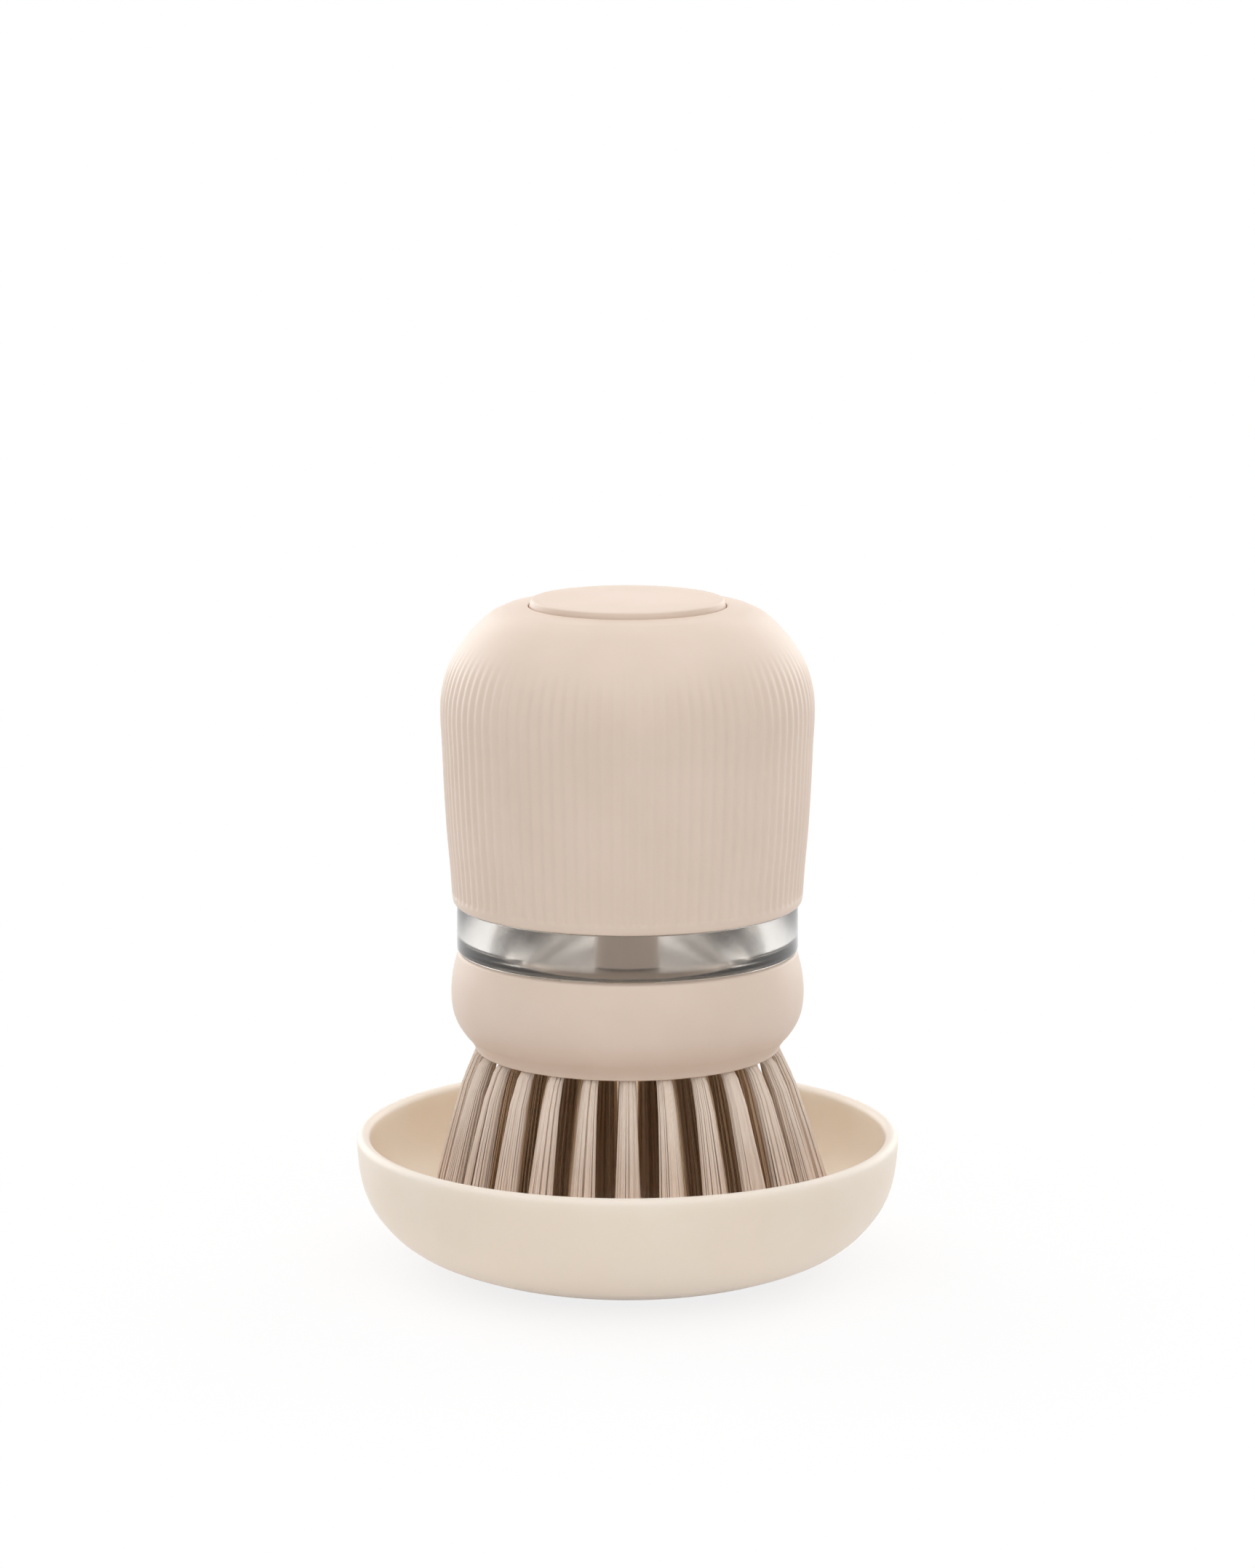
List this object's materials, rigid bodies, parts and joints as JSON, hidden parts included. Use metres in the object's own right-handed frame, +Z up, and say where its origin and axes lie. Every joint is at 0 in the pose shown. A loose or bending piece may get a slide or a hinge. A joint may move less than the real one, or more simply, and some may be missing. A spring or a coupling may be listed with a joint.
{
  "type": "soap dispensing dish brush",
  "caption": "Palm-held dish brush with a fluted grip, push button and clear soap reservoir, standing bristles down in a round drip dish.",
  "frame": {"origin": "middle of the drip dish's flat foot, on the surface it stands on", "axes": "+Z up along the brush's axis, front faces -Y, +X to the right seen from the front"},
  "size_m": [0.0958, 0.0958, 0.1193],
  "materials": {
    "cream_plastic": "satin moulded",
    "pale_plastic": "satin moulded",
    "bristle_nylon": "drawn filament",
    "clear_plastic": "clear, polished",
    "silicone": "soft matte",
    "spring_steel": "drawn wire"
  },
  "bodies": {
    "dish": {"drip_dish": "cream_plastic"},
    "head": {"head_collar": "cream_plastic", "tuft_block": "pale_plastic", "bristles": "bristle_nylon"},
    "lower_ring": {"lower_seal": "silicone"},
    "cup": {"reservoir": "clear_plastic", "outlet_valve": "silicone", "valve_retainer": "cream_plastic"},
    "upper_ring": {"upper_seal": "silicone"},
    "grip": {"grip_shell": "cream_plastic", "grip_liner": "pale_plastic", "vent_valve": "silicone", "pump_barrel": "cream_plastic", "barrel_nut": "pale_plastic", "rod_seal": "silicone", "button_gasket": "silicone"},
    "button": {"button_cap": "cream_plastic", "plunger_rod": "pale_plastic", "piston_seal": "silicone", "return_spring": "spring_steel"}
  },
  "joints": [
    {"name": "brush_lift", "type": "slide", "parent": "dish", "child": "head", "axis": [0, 0, 1], "range_m": [0, 0.04]},
    {"name": "reservoir_pull", "type": "slide", "parent": "head", "child": "lower_ring", "axis": [0, 0, 1], "range_m": [0, 0.02]},
    {"name": "reservoir_turn", "type": "hinge", "parent": "lower_ring", "child": "cup", "pos_m": [0, 0, 0.057], "axis": [0, 0, 1], "range_deg": [0, 45]},
    {"name": "grip_pull", "type": "slide", "parent": "cup", "child": "upper_ring", "axis": [0, 0, 1], "range_m": [0, 0.05]},
    {"name": "grip_turn", "type": "hinge", "parent": "upper_ring", "child": "grip", "pos_m": [0, 0, 0.101], "axis": [0, 0, 1], "range_deg": [0, 45]},
    {"name": "button_press", "type": "slide", "parent": "grip", "child": "button", "axis": [0, 0, -1], "range_m": [0, 0.005], "stiffness_N_per_m": 400, "springref_m": -0.003, "deforming": ["return_spring"]}
  ]
}
